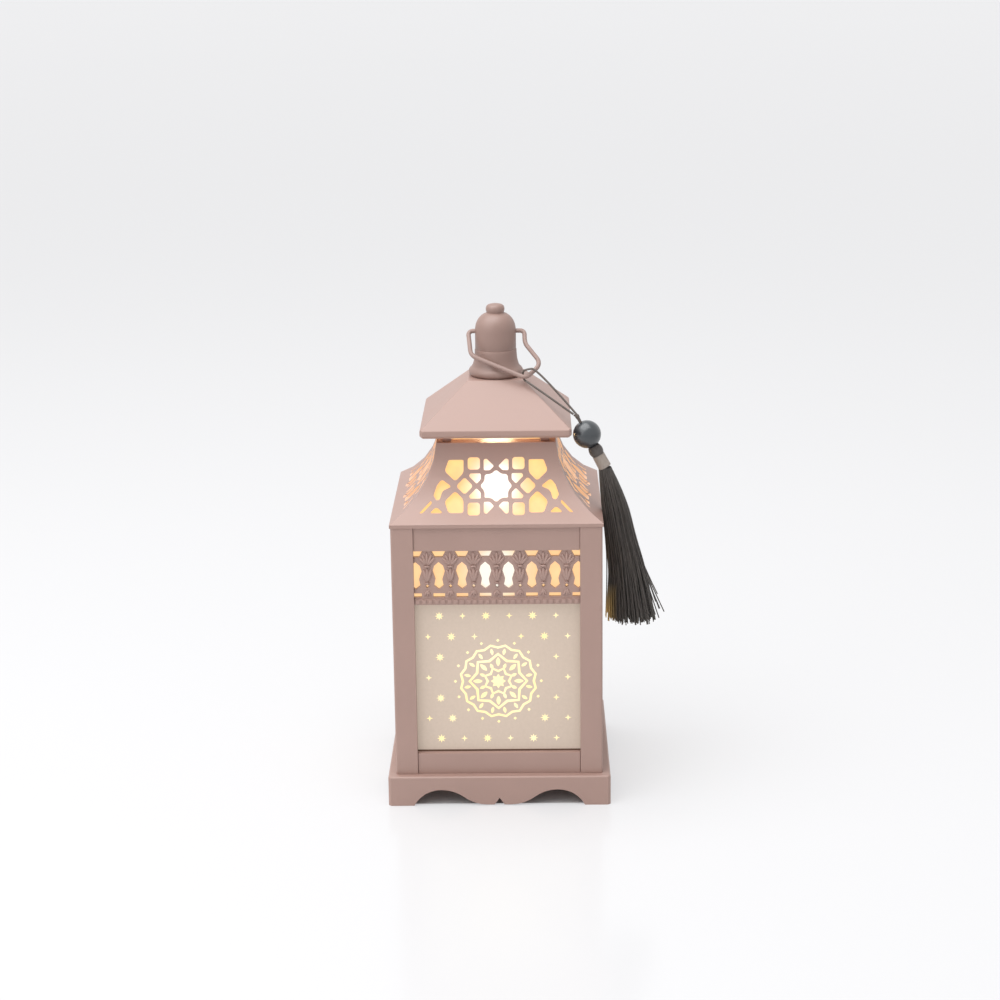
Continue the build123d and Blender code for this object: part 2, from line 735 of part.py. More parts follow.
# Handle: one bent wire whose ends turn in the bell
tilt = radians(handle_tilt)
handle_plane = Plane((0, 0, pivot_level), x_dir=(1, 0, 0), z_dir=(0, -cos(tilt), sin(tilt)))
pin_inner = bell_radius - pin_depth
handle_points = [(-pin_inner, 0), (-bell_radius - shoulder_out, 0)]
handle_points += [(x * handle_drop, -y * handle_drop) for x, y in handle_point_shares]
handle_points += [(bell_radius + elbow_out, 0), (pin_inner, 0)]
handle_radii = [share * handle_drop for share in handle_radius_shares]
with BuildPart() as handle:
    with BuildLine(handle_plane) as handle_route:
        FilletPolyline(*handle_points, radius=handle_radii)
    with BuildSketch(Plane((-pin_inner, 0, pivot_level), z_dir=(-1, 0, 0))):
        RegularPolygon(wire_radius, 6)
    sweep(path=handle_route.wires()[0])
finish(handle, "handle")

# Bead: a ball with a flat at each end of its hole
bead_across = bead_axis.cross(Vector(0, -1, 0)).normalized()
bead_facing = bead_across.cross(bead_axis)
bead_mouth = sqrt(bead_radius**2 - bead_flat**2)
bead_arc = ThreePointArc((bead_mouth, -bead_flat), (bead_radius, 0), (bead_mouth, bead_flat))
bead_foot = Plane(bead_centre, x_dir=bead_across, z_dir=bead_axis)
bead_half = turned(bead_foot, [(point.X, point.Y) for point in chords(bead_arc, 6)[3:]], 18)
with BuildPart() as tassel_bead:
    add(bead_half)
    mirror(about=bead_foot)
finish(tassel_bead, "tassel_bead")

# Join: the two strands come together just above the bead, and the tassel turns on the cord there
cord_seat = bead_centre + bead_axis * bead_flat
join_place = cord_seat + bead_axis * join_lift
join_outline = [(tail_radius, 0), (tail_radius, join_lift - join_radius)]
join_outline += [(join_radius, join_lift - join_radius / 3), (join_radius, join_lift + join_radius / 3)]
join_outline += [(join_radius / 2, join_lift + join_radius)]
join_block = turned(Plane(cord_seat, x_dir=bead_across, z_dir=bead_axis), join_outline, 12)
with BuildPart() as cord_join:
    add(join_block)
finish(cord_join, "cord_join")

# Cord: one length from the join, round the handle's wire and back to the join
front_turn = Vector(12.4, -15.3, 159.5)
upper_turn = Vector(15.6, -13.2, 164.5)
strand_side = bead_across * strand_offset
strand_rise = ((front_turn + upper_turn) / 2 - join_place).normalized()
cord_start = join_place + strand_rise * (join_radius + join_gap)
cord_points = [
    cord_start - strand_side,
    front_turn,
    Vector(10.6, -11.55, 159.65),
    Vector(10.2, -11.55, 162.9),
    Vector(11.7, -13.9, 164.2),
    upper_turn,
    cord_start + strand_side,
]


def largest_radii(points):
    """The largest arc at each corner of a route that leaves part of both runs straight."""
    radii = []
    for before, corner, after in zip(points, points[1:], points[2:]):
        run_in, run_out = corner - before, after - corner
        turn = radians(run_in.get_angle(run_out))
        radii.append(0.45 * min(run_in.length, run_out.length) / tan(turn / 2))
    return radii


cord_radii = largest_radii(cord_points)
with BuildPart() as tassel_cord:
    with BuildLine() as cord_route:
        FilletPolyline(*cord_points, radius=cord_radii)
    with BuildSketch(Plane(cord_points[0], z_dir=cord_points[1] - cord_points[0])) as cord_section:
        RegularPolygon(cord_radius, 5)
    sweep(path=cord_route.wires()[0])
cord_length = cord_route.wires()[0].length
print("cord radii", [round(radius, 2) for radius in cord_radii])
print("cord length", round(cord_length, 2), "join", [round(value, 3) for value in join_place])
print("cord volume share", round(tassel_cord.part.volume / (cord_length * cord_section.sketch.area), 4))
finish(tassel_cord, "tassel_cord")

# Tassel head, wrapped below the bead
head_top = bead_centre - bead_axis * bead_flat
head_foot = Plane(head_top, x_dir=bead_across, z_dir=-bead_axis)
head_outline = [(head_neck_radius, 0), (head_radius, head_length / 3)]
head_outline += [(head_radius, 2 * head_length / 3), (head_neck_radius, head_length)]
head_block = turned(head_foot, head_outline, 16)
with BuildPart() as tassel_head:
    add(head_block)
finish(tassel_head, "tassel_head")

binding_top = head_top - bead_axis * head_length
with BuildPart() as tassel_binding:
    with BuildSketch(Plane(binding_top, z_dir=-bead_axis)):
        RegularPolygon(binding_radius, 16)
    extrude(amount=binding_length)
finish(tassel_binding, "tassel_binding")

# Skirt of strands, hanging clear of the roof's edge and spreading to its end
skirt_top = binding_top - bead_axis * binding_length


def oval(half_across, half_deep, sides=8):
    """Corners of a many-sided oval."""
    turns = [2 * pi * step / sides for step in range(sides)]
    return [(half_deep * cos(turn), half_across * sin(turn)) for turn in turns]


with BuildPart() as tassel_skirt:
    with BuildSketch(Plane(skirt_top, x_dir=bead_facing, z_dir=-bead_axis)):
        Polygon(*oval(binding_radius, binding_radius), align=None)
    for place, half in zip(skirt_places, skirt_half_widths):
        with BuildSketch(Plane(place, x_dir=(0, -1, 0), z_dir=(0, 0, -1))):
            Polygon(*oval(half, half * skirt_depth_share), align=None)
    loft(ruled=True)
finish(tassel_skirt, "tassel_skirt")
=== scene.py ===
import math
import random

import bmesh
import bpy
from mathutils import Matrix, Vector


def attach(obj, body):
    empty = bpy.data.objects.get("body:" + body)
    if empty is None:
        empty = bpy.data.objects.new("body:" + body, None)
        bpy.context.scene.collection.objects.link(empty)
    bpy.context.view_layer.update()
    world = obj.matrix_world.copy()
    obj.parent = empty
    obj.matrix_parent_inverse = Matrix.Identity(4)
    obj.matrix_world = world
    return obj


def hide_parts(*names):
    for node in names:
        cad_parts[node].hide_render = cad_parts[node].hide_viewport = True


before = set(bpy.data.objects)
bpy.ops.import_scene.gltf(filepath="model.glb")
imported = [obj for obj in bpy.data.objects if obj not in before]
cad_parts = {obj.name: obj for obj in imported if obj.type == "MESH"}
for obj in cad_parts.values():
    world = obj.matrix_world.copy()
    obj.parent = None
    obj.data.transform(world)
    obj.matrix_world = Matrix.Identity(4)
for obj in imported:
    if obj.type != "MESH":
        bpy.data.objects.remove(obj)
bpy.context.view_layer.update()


# Studio: a wide pale table top with a soft sheen, an even white surround, one big soft light overhead
# and a weaker one from the left, and the camera where the photographer stood.
scene = bpy.context.scene
scene.view_settings.view_transform = "Standard"


def new_material(name):
    """An empty node material with its output and one Principled shader."""
    material = bpy.data.materials.new(name)
    material.use_nodes = True
    return material, material.node_tree.nodes, material.node_tree.links


def value_node(nodes, links, operation, *inputs):
    """A Math node whose inputs are sockets or plain numbers; returns its output."""
    node = nodes.new("ShaderNodeMath")
    node.operation = operation
    for index, given in enumerate(inputs):
        if isinstance(given, (int, float)):
            node.inputs[index].default_value = given
        else:
            links.new(given, node.inputs[index])
    return node.outputs[0]


table_paint, parts, wires = new_material("table_top")
table_shader = parts["Principled BSDF"]
table_shader.inputs["Base Color"].default_value = (0.78, 0.78, 0.79, 1)
table_shader.inputs["Roughness"].default_value = 0.17
table_shader.inputs["Specular IOR Level"].default_value = 0.6
table_glow = parts.new("ShaderNodeEmission")
table_glow.inputs["Color"].default_value = (0.93, 0.93, 0.945, 1)
table_seen = parts.new("ShaderNodeLightPath")
table_place = parts.new("ShaderNodeTexCoord")
table_axes = parts.new("ShaderNodeSeparateXYZ")
wires.new(table_place.outputs["Object"], table_axes.inputs["Vector"])
# The glow that evens the table for the camera is left out under the plinth, so that the shade there stays.
under_plinth_half = 0.0405
camera_glow_share = 0.5
aside, ahead = (value_node(parts, wires, "ABSOLUTE", table_axes.outputs[axis]) for axis in "XY")
from_middle = value_node(parts, wires, "MAXIMUM", aside, ahead)
clear_of_plinth = value_node(parts, wires, "GREATER_THAN", from_middle, under_plinth_half)
table_share = value_node(parts, wires, "MULTIPLY", table_seen.outputs["Is Camera Ray"], camera_glow_share)
table_blend = parts.new("ShaderNodeMixShader")
wires.new(value_node(parts, wires, "MULTIPLY", table_share, clear_of_plinth), table_blend.inputs["Fac"])
wires.new(table_shader.outputs["BSDF"], table_blend.inputs[1])
wires.new(table_glow.outputs["Emission"], table_blend.inputs[2])
wires.new(table_blend.outputs["Shader"], parts["Material Output"].inputs["Surface"])

table_half = 14
table_mesh = bpy.data.meshes.new("table_top")
table_form = bmesh.new()
bmesh.ops.create_grid(table_form, x_segments=1, y_segments=1, size=table_half)
table_form.to_mesh(table_mesh)
table_form.free()
table_top = bpy.data.objects.new("table_top", table_mesh)
table_mesh.materials.append(table_paint)
scene.collection.objects.link(table_top)

surround = bpy.data.worlds.new("surround")
surround.use_nodes = True
scene.world = surround
parts, wires = surround.node_tree.nodes, surround.node_tree.links
room_light = parts["Background"]
room_light.inputs["Color"].default_value = (1, 1, 1, 1)
room_light.inputs["Strength"].default_value = 0.62
white_wall = parts.new("ShaderNodeBackground")
white_wall.inputs["Color"].default_value = (0.97, 0.97, 0.98, 1)
wall_seen = parts.new("ShaderNodeLightPath")
seen_straight = value_node(
    parts, wires, "MAXIMUM", wall_seen.outputs["Is Camera Ray"], wall_seen.outputs["Is Glossy Ray"]
)
seen_through = value_node(parts, wires, "MAXIMUM", seen_straight, wall_seen.outputs["Is Transmission Ray"])
wall_blend = parts.new("ShaderNodeMixShader")
wires.new(seen_through, wall_blend.inputs["Fac"])
wires.new(room_light.outputs["Background"], wall_blend.inputs[1])
wires.new(white_wall.outputs["Background"], wall_blend.inputs[2])
wires.new(wall_blend.outputs["Shader"], parts["World Output"].inputs["Surface"])

lantern_middle = Vector((0, 0, 0.09))
for name, place, size, power in (
    ("softbox_overhead", (-0.25, -0.15, 1.1), 1.1, 11.5),
    ("softbox_left", (-1.0, -0.8, 0.7), 0.9, 3.2),
):
    lamp = bpy.data.lights.new(name, "AREA")
    lamp.size = size
    lamp.energy = power
    softbox = bpy.data.objects.new(name, lamp)
    softbox.location = place
    softbox.rotation_euler = (lantern_middle - Vector(place)).to_track_quat("-Z", "Y").to_euler()
    scene.collection.objects.link(softbox)

lens = bpy.data.cameras.new("camera")
lens.sensor_width = 36
lens.lens = 78.82
lens.clip_end = 60
camera = bpy.data.objects.new("camera", lens)
camera_place = (0.013506, -0.82105, 0.33262)
yaw, pitch, roll = 0.01531, 0.26516, -0.01273
aim = Matrix.Rotation(yaw, 4, "Z") @ Matrix.Rotation(math.pi / 2 - pitch, 4, "X")
aim = aim @ Matrix.Rotation(roll, 4, "Z")
camera.matrix_world = Matrix.Translation(camera_place) @ aim
scene.collection.objects.link(camera)
scene.camera = camera


# Body mouldings: the plinth, the posts and the bottom rails are dusty pink plastic, as are the panels, the
# roof and the cap further on, moulded with slightly eased edges and a fine matte skin that is a touch
# uneven in colour.
def skin_group():
    """Fine moulded skin: uneven colour, uneven gloss and a height for a bump."""
    group = bpy.data.node_groups.new("moulded_skin", "ShaderNodeTree")
    group.interface.new_socket("Color", in_out="INPUT", socket_type="NodeSocketColor")
    for socket in ("Unevenness", "Gloss Spread", "Roughness", "Grain Scale"):
        group.interface.new_socket(socket, in_out="INPUT", socket_type="NodeSocketFloat")
    group.interface.new_socket("Color", in_out="OUTPUT", socket_type="NodeSocketColor")
    for socket in ("Roughness", "Height"):
        group.interface.new_socket(socket, in_out="OUTPUT", socket_type="NodeSocketFloat")
    nodes, links = group.nodes, group.links
    taken = nodes.new("NodeGroupInput")
    given = nodes.new("NodeGroupOutput")
    place = nodes.new("ShaderNodeTexCoord")
    clouds = nodes.new("ShaderNodeTexNoise")
    clouds.inputs["Scale"].default_value = 55
    clouds.inputs["Detail"].default_value = 4
    grain = nodes.new("ShaderNodeTexNoise")
    grain.inputs["Detail"].default_value = 3
    links.new(place.outputs["Object"], clouds.inputs["Vector"])
    links.new(place.outputs["Object"], grain.inputs["Vector"])
    links.new(taken.outputs["Grain Scale"], grain.inputs["Scale"])
    centred = value_node(nodes, links, "SUBTRACT", clouds.outputs["Fac"], 0.5)
    lift = value_node(nodes, links, "MULTIPLY_ADD", centred, taken.outputs["Unevenness"], 1)
    tone = nodes.new("ShaderNodeHueSaturation")
    links.new(lift, tone.inputs["Value"])
    links.new(taken.outputs["Color"], tone.inputs["Color"])
    links.new(tone.outputs["Color"], given.inputs["Color"])
    spread, middle = taken.outputs["Gloss Spread"], taken.outputs["Roughness"]
    links.new(value_node(nodes, links, "MULTIPLY_ADD", centred, spread, middle), given.inputs["Roughness"])
    links.new(grain.outputs["Fac"], given.inputs["Height"])
    return group


moulded_skin = skin_group()
bump_depth = 0.0002


def skin_material(
    name, color, roughness, unevenness=0.12, gloss_spread=0.2, grain=2600, bump=0.12, specular=0.4
):
    """A Principled material that wears the moulded skin."""
    material, nodes, links = new_material(name)
    shader = nodes["Principled BSDF"]
    shader.inputs["Specular IOR Level"].default_value = specular
    skin = nodes.new("ShaderNodeGroup")
    skin.node_tree = moulded_skin
    skin.inputs["Color"].default_value = (*color, 1)
    skin.inputs["Unevenness"].default_value = unevenness
    skin.inputs["Gloss Spread"].default_value = gloss_spread
    skin.inputs["Roughness"].default_value = roughness
    skin.inputs["Grain Scale"].default_value = grain
    height = nodes.new("ShaderNodeBump")
    height.inputs["Strength"].default_value = bump
    height.inputs["Distance"].default_value = bump_depth
    links.new(skin.outputs["Color"], shader.inputs["Base Color"])
    links.new(skin.outputs["Roughness"], shader.inputs["Roughness"])
    links.new(skin.outputs["Height"], height.inputs["Height"])
    links.new(height.outputs["Normal"], shader.inputs["Normal"])
    return material


dusty_pink, pink_roughness, pink_specular = (0.405, 0.262, 0.222), 0.46, 0.7
pink_plastic = skin_material("pink_plastic", dusty_pink, pink_roughness, specular=pink_specular)
mm = 0.001


def place_piece(mesh, name, material, body, stands_for=()):
    """Puts a finished mesh in the scene on its body, with its material and the nodes that it stands for."""
    piece = bpy.data.objects.new(name, mesh)
    mesh.materials.clear()
    mesh.materials.append(material)
    scene.collection.objects.link(piece)
    if stands_for:
        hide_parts(*stands_for)
    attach(piece, body)
    return piece


def ease_edges(form, width, sharp=30):
    """Rounds every edge of a form that turns by more than an angle, and shades the rest smooth."""
    hard_turn, shaded_turn = math.radians(sharp), math.radians(sharp + 15)
    form.normal_update()
    hard = [edge for edge in form.edges if len(edge.link_faces) == 2 and edge.calc_face_angle(0) > hard_turn]
    bmesh.ops.bevel(
        form, geom=hard, offset=width, offset_type="OFFSET", segments=2, profile=0.5, affect="EDGES",
        clamp_overlap=True, material=-1,
    )
    for face in form.faces:
        face.smooth = True
    form.normal_update()
    for edge in form.edges:
        edge.smooth = len(edge.link_faces) == 2 and edge.calc_face_angle(0) < shaded_turn


def eased_copy(node, name, width, material, body, sharp=30, shaping=None):
    """A copy of a moulding, shaped first if asked, with its edges rounded; it stands for the plain one."""
    merge_gap, flat_turn = 0.002 * mm, math.radians(1)
    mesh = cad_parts[node].data.copy()
    form = bmesh.new()
    form.from_mesh(mesh)
    bmesh.ops.remove_doubles(form, verts=form.verts, dist=merge_gap)
    bmesh.ops.dissolve_limit(form, angle_limit=flat_turn, verts=form.verts, edges=form.edges)
    if shaping:
        shaping(form)
    ease_edges(form, width, sharp)
    form.to_mesh(mesh)
    form.free()
    piece = place_piece(mesh, name, material, body, (node,))
    evened = piece.modifiers.new("even_normals", "WEIGHTED_NORMAL")
    evened.keep_sharp = True
    return piece


def pink_moulding(node, name, width, body="lantern", sharp=30, shaping=None):
    """An eased moulding in the pink plastic."""
    return eased_copy(node, name, width, pink_plastic, body, sharp, shaping)


plinth_edge, post_edge, rail_edge = 0.35 * mm, 0.25 * mm, 0.2 * mm
sides = ("front", "right", "rear", "left")
pink_moulding("plinth", "plinth_moulding", plinth_edge)
for corner in ("front_right", "rear_right", "rear_left", "front_left"):
    pink_moulding("corner_post_" + corner, "post_moulding_" + corner, post_edge)
for side in sides:
    pink_moulding("bottom_rail_" + side, "rail_moulding_" + side, rail_edge)


# Pierced panels: one moulding to a side, top rail, pierced band and dentil strip. On the bars between the
# openings sits a palmette in relief: a fluted fan, a knot, a tulip and a small spread foot.
panel_edge = 0.16 * mm
for side in sides:
    pink_moulding("pierced_panel_" + side, "panel_moulding_" + side, panel_edge)

# Forms are drawn in millimetres from here on, and scaled by mm as they are put in their place.
band_pitch, band_face = 8.7, 38.2


def petal(form, root, length, width, lean, height):
    """One rounded petal that starts at the level of its root and leans from straight up."""
    turn = Matrix.Rotation(-math.radians(lean), 4, "Y")
    shape = Matrix.Diagonal((width / 2, height, length / 2, 1))
    middle = Vector((0, -band_face, root)) + turn @ Vector((0, 0, length / 2))
    move = Matrix.Translation(middle) @ turn @ shape
    bmesh.ops.create_icosphere(form, subdivisions=2, radius=1, matrix=move)


# For each spray: the level of its root, a petal's length, how much that falls with each degree of lean,
# its width and height, and the petals' leans.
fan = (94.9, 5.3, 0.022, 1.25, 0.75, (-44, -23, 0, 23, 44))
tulip = (88.2, 6.0, 0.03, 1.5, 0.85, (-16, 0, 16))
spread_foot = (85.3, 2.7, 0, 0.95, 0.6, (152, 180, 208))
palmette = bmesh.new()
for root, length, fall, width, height, leans in (fan, tulip, spread_foot):
    for lean in leans:
        petal(palmette, root, length - abs(lean) * fall, width, lean, height)
knot_height = 0.95
for level, width, tall in ((94.5, 2.7, 1.0), (88.0, 1.9, 0.8)):
    knot = Matrix.Translation((0, -band_face, level)) @ Matrix.Diagonal((width / 2, knot_height, tall / 2, 1))
    bmesh.ops.create_icosphere(palmette, subdivisions=2, radius=1, matrix=knot)
for face in palmette.faces:
    face.smooth = True
one_palmette = bpy.data.meshes.new("one_palmette")
palmette.to_mesh(one_palmette)
palmette.free()


def place_row(row, kind, side):
    """Turns a row that was made on the front round to its own side of the lantern."""
    to_side = Matrix.Rotation(sides.index(side) * math.pi / 2, 4, "Z") @ Matrix.Scale(mm, 4)
    bmesh.ops.transform(row, matrix=to_side, verts=row.verts)
    row_mesh = bpy.data.meshes.new(kind + "_" + side)
    row.to_mesh(row_mesh)
    row.free()
    place_piece(row_mesh, kind + "_" + side, pink_plastic, "lantern")


for side in sides:
    row = bmesh.new()
    for step in range(-3, 4):
        mark = len(row.verts)
        row.from_mesh(one_palmette)
        row.verts.ensure_lookup_table()
        bmesh.ops.translate(row, verts=row.verts[mark:], vec=(step * band_pitch, 0, 0))
    place_row(row, "palmettes", side)

dentil_pitch, dentil_size, dentil_count = 2.38, (1.55, 0.45, 1.7), 26
dentil_face, dentil_level, dentil_edge = 38.9, 80.68, 0.12
for side in sides:
    row = bmesh.new()
    for step in range(dentil_count):
        across = (step - (dentil_count - 1) / 2) * dentil_pitch
        block = Matrix.Translation((across, -dentil_face, dentil_level)) @ Matrix.Diagonal((*dentil_size, 1))
        bmesh.ops.create_cube(row, size=1, matrix=block)
    ease_edges(row, dentil_edge)
    place_row(row, "dentils", side)


# Lit sheets: thin tinted plastic with the lamp behind it, its light through the sheet painted in as a glow of
# its own. The lower part shows as a softly glowing window, and the part behind the pierced band is bright,
# hottest in the middle in front of the lamp.
def color_mix(nodes, links, share, low, high):
    """A Mix node between two colours, each a socket or a plain colour; returns its output."""
    node = nodes.new("ShaderNodeMix")
    node.data_type = "RGBA"
    links.new(share, node.inputs["Factor"])
    for socket, given in ((6, low), (7, high)):
        if isinstance(given, tuple):
            node.inputs[socket].default_value = (*given, 1)
        else:
            links.new(given, node.inputs[socket])
    return node.outputs[2]


def hot_spot(nodes, links, across, up, size):
    """A round glow that is 1 in its middle and fades outwards."""
    squares = [value_node(nodes, links, "POWER", distance, 2) for distance in (across, up)]
    spread = value_node(nodes, links, "ADD", *squares)
    return value_node(nodes, links, "EXPONENT", value_node(nodes, links, "MULTIPLY", spread, -1 / size**2))


def raised_share(nodes, links, share, gain):
    """A share that is raised by a gain and stops at 1."""
    return value_node(nodes, links, "MINIMUM", value_node(nodes, links, "MULTIPLY", share, gain), 1)


seam_top, band_foot = 20.7 * mm, 80.2 * mm
band_lamp_level, band_lamp_size = 92 * mm, 7.5 * mm
window_lamp_level, window_lamp_size = 52 * mm, 40 * mm


def sheet_material(name, axis):
    """The sheet with its painted glow, its middle found along one level axis."""
    material, nodes, links = new_material(name)
    shader = nodes["Principled BSDF"]
    place = nodes.new("ShaderNodeTexCoord")
    axes = nodes.new("ShaderNodeSeparateXYZ")
    links.new(place.outputs["Object"], axes.inputs["Vector"])
    across, up = value_node(nodes, links, "ABSOLUTE", axes.outputs[axis]), axes.outputs["Z"]
    mottle = nodes.new("ShaderNodeTexNoise")
    mottle.inputs["Scale"].default_value = 130
    mottle.inputs["Detail"].default_value = 3
    links.new(place.outputs["Object"], mottle.inputs["Vector"])
    fibre = nodes.new("ShaderNodeTexNoise")
    fibre.inputs["Scale"].default_value = 900
    links.new(place.outputs["Object"], fibre.inputs["Vector"])
    # Painted glow: a warm mottle behind the band that turns white near the lamp's level, and a dimmer glow in
    # the window, brightest round its middle.
    behind_band = value_node(nodes, links, "GREATER_THAN", up, band_foot)
    from_band_lamp = value_node(nodes, links, "SUBTRACT", up, band_lamp_level)
    band_lamp = hot_spot(nodes, links, across, from_band_lamp, band_lamp_size)
    warm = color_mix(nodes, links, mottle.outputs["Fac"], (0.95, 0.50, 0.24), (1.0, 0.74, 0.36))
    band_light = color_mix(nodes, links, raised_share(nodes, links, band_lamp, 2.2), warm, (1.0, 0.97, 0.86))
    from_window_lamp = value_node(nodes, links, "SUBTRACT", up, window_lamp_level)
    window_lamp = hot_spot(nodes, links, across, from_window_lamp, window_lamp_size)
    window_light = color_mix(nodes, links, window_lamp, (0.172, 0.15, 0.122), (0.272, 0.23, 0.182))
    # Painted shade: below the window's lower edge the sheet is dark, for the shade where it meets the bottom
    # rail.
    above_painted_shade = value_node(nodes, links, "GREATER_THAN", up, seam_top)
    sheet_light = color_mix(nodes, links, above_painted_shade, (0.02, 0.01, 0.006), window_light)
    tint = color_mix(nodes, links, fibre.outputs["Fac"], (0.40, 0.315, 0.26), (0.47, 0.375, 0.315))
    in_window = color_mix(nodes, links, above_painted_shade, (0.12, 0.07, 0.05), tint)
    links.new(color_mix(nodes, links, behind_band, in_window, (0.16, 0.1, 0.06)), shader.inputs["Base Color"])
    links.new(color_mix(nodes, links, behind_band, sheet_light, band_light), shader.inputs["Emission Color"])
    shader.inputs["Emission Strength"].default_value = 1.0
    shader.inputs["Roughness"].default_value = 0.45
    relief = nodes.new("ShaderNodeBump")
    relief.inputs["Strength"].default_value = 0.06
    relief.inputs["Distance"].default_value = bump_depth
    links.new(fibre.outputs["Fac"], relief.inputs["Height"])
    links.new(relief.outputs["Normal"], shader.inputs["Normal"])
    return material


def repaint(node, material):
    """Gives a CAD piece whose shape is right a finished material."""
    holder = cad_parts[node]
    if not holder.material_slots:
        holder.data.materials.append(material)
    for held in holder.material_slots:
        held.link = "OBJECT"
        held.material = material


for side, axis in zip(sides, ("X", "Y", "X", "Y")):
    repaint("lit_sheet_" + side, sheet_material("lit_sheet_" + side, axis))


# Printed pattern on each window: a pale yellow eight-fold medallion with a field of small stars in rows,
# clear in the print, where the lamp's light shining through it is painted in as a glow.
def star(form, place, points, tip, notch, turn=0.0):
    """A filled star of many points, flat on the window."""
    made = bmesh.ops.create_circle(form, cap_ends=True, segments=2 * points, radius=tip)["verts"]
    for index, vert in enumerate(made):
        if index % 2:
            vert.co *= notch / tip
    bmesh.ops.rotate(form, verts=made, cent=(0, 0, 0), matrix=Matrix.Rotation(turn, 3, "Z"))
    bmesh.ops.translate(form, verts=made, vec=(place[0], place[1], 0))


def star_band(form, points, tip, notch, width, turn=0.0):
    """An open star: a band of even width round a star's outline."""
    loops = []
    for shrink in (0, width):
        made = bmesh.ops.create_circle(form, segments=2 * points, radius=tip - shrink)["verts"]
        for index, vert in enumerate(made):
            if index % 2:
                vert.co *= (notch - shrink) / (tip - shrink)
        bmesh.ops.rotate(form, verts=made, cent=(0, 0, 0), matrix=Matrix.Rotation(turn, 3, "Z"))
        loops += list({edge for vert in made for edge in vert.link_edges})
    bmesh.ops.bridge_loops(form, edges=loops)


def leaf(form, reach, length, width, turn):
    """A pointed leaf that starts at a distance from the middle."""
    made = bmesh.ops.create_circle(form, cap_ends=True, segments=10, radius=1)["verts"]
    for vert in made:
        vert.co.y *= (1 - abs(vert.co.x)) ** 0.5 * 0.6 + 0.4 if abs(vert.co.x) < 0.99 else 0
    bmesh.ops.scale(form, verts=made, vec=(length / 2, width / 2, 1))
    bmesh.ops.translate(form, verts=made, vec=(reach + length / 2, 0, 0))
    bmesh.ops.rotate(form, verts=made, cent=(0, 0, 0), matrix=Matrix.Rotation(turn, 3, "Z"))


eighth = math.pi / 4
medallion = bmesh.new()
star(medallion, (0, 0), points=8, tip=2.9, notch=1.9)
star_band(medallion, points=8, tip=5.9, notch=4.5, width=0.95, turn=eighth / 2)
for step in range(8):
    leaf(medallion, reach=6.0, length=3.6, width=1.7, turn=step * eighth)
    leaf(medallion, reach=5.2, length=2.4, width=1.3, turn=(step + 0.5) * eighth)
star_band(medallion, points=8, tip=11.4, notch=9.2, width=1.05)
for step in range(16):
    leaf(medallion, reach=10.6, length=2.6, width=1.3, turn=(step + 0.5) * eighth / 2)
star_band(medallion, points=16, tip=14.9, notch=13.9, width=0.9, turn=eighth / 4)
dot_ring = 16.3
for step in range(16):
    dot_turn = step * eighth / 2
    dot_place = (dot_ring * math.cos(dot_turn), dot_ring * math.sin(dot_turn))
    star(medallion, dot_place, points=4, tip=0.62, notch=0.45)
medallion_drop = 1.5
bmesh.ops.translate(medallion, verts=medallion.verts, vec=(0, -medallion_drop, 0))

star_gap_across, star_gap_up = 8.8, 8.2
clear_of_medallion, print_half = 19.2, 29.2
big_star, small_star = (8, 1.75, 0.75), (4, 1.25, 0.4)
for row in range(-3, 4):
    for column in range(-3, 4):
        shift = star_gap_across / 2 if row % 2 else 0
        across, up = column * star_gap_across + shift, row * star_gap_up
        if math.hypot(across, up + medallion_drop) < clear_of_medallion or abs(across) > print_half:
            continue
        points, tip, notch = small_star if (row + column) % 2 else big_star
        star(medallion, (across, up), points, tip, notch, math.pi / 2)
print_mesh = bpy.data.meshes.new("window_print")
bmesh.ops.recalc_face_normals(medallion, faces=medallion.faces)
for face in medallion.faces:
    if face.normal.z < 0:
        face.normal_flip()
medallion.to_mesh(print_mesh)
medallion.free()

print_light, parts, wires = new_material("print_light")
print_shader = parts["Principled BSDF"]
print_place = parts.new("ShaderNodeTexCoord")
print_clouds = parts.new("ShaderNodeTexNoise")
print_clouds.inputs["Scale"].default_value = 70
wires.new(print_place.outputs["Object"], print_clouds.inputs["Vector"])
# Painted glow: the clear print gives off the lamp's yellow light as a glow of its own.
print_glow = color_mix(parts, wires, print_clouds.outputs["Fac"], (1.0, 0.80, 0.30), (1.0, 0.96, 0.70))
wires.new(print_glow, print_shader.inputs["Emission Color"])
print_shader.inputs["Emission Strength"].default_value = 1.0
print_shader.inputs["Base Color"].default_value = (0.25, 0.2, 0.08, 1)
print_shader.inputs["Roughness"].default_value = 0.4
window_middle, print_face = 49.8, 36.53
upright = Matrix.Translation((0, -print_face, window_middle)) @ Matrix.Rotation(math.pi / 2, 4, "X")
for turn, side in enumerate(sides):
    mesh = print_mesh.copy()
    mesh.transform(Matrix.Scale(mm, 4) @ Matrix.Rotation(turn * math.pi / 2, 4, "Z") @ upright)
    place_piece(mesh, "window_print_" + side, print_light, "lantern")


# Flared roof: a hollow shell of the pink plastic that curves in from its eaves, with an eight-fold lattice
# cut through each side. The mould leaves the cells' corners round, and the lamp's warm light on the cells'
# walls is painted in as a faint glow of their own.
lattice_lean = math.radians(12)
lattice_foot, lattice_head = 112 * mm, 136 * mm
roof_edge = 0.22 * mm
wide_wall, wide_round, narrow_round = 2.4 * mm, 1.1 * mm, 0.5 * mm
nearly_along, nearly_across = 0.99, 0.06


def lattice_facing(place):
    """The way that the lattice faces on the side of the roof where a place lies."""
    out, up = math.cos(lattice_lean), math.sin(lattice_lean)
    if abs(place.y) > abs(place.x):
        return Vector((0, math.copysign(out, place.y), up))
    return Vector((math.copysign(out, place.x), 0, up))


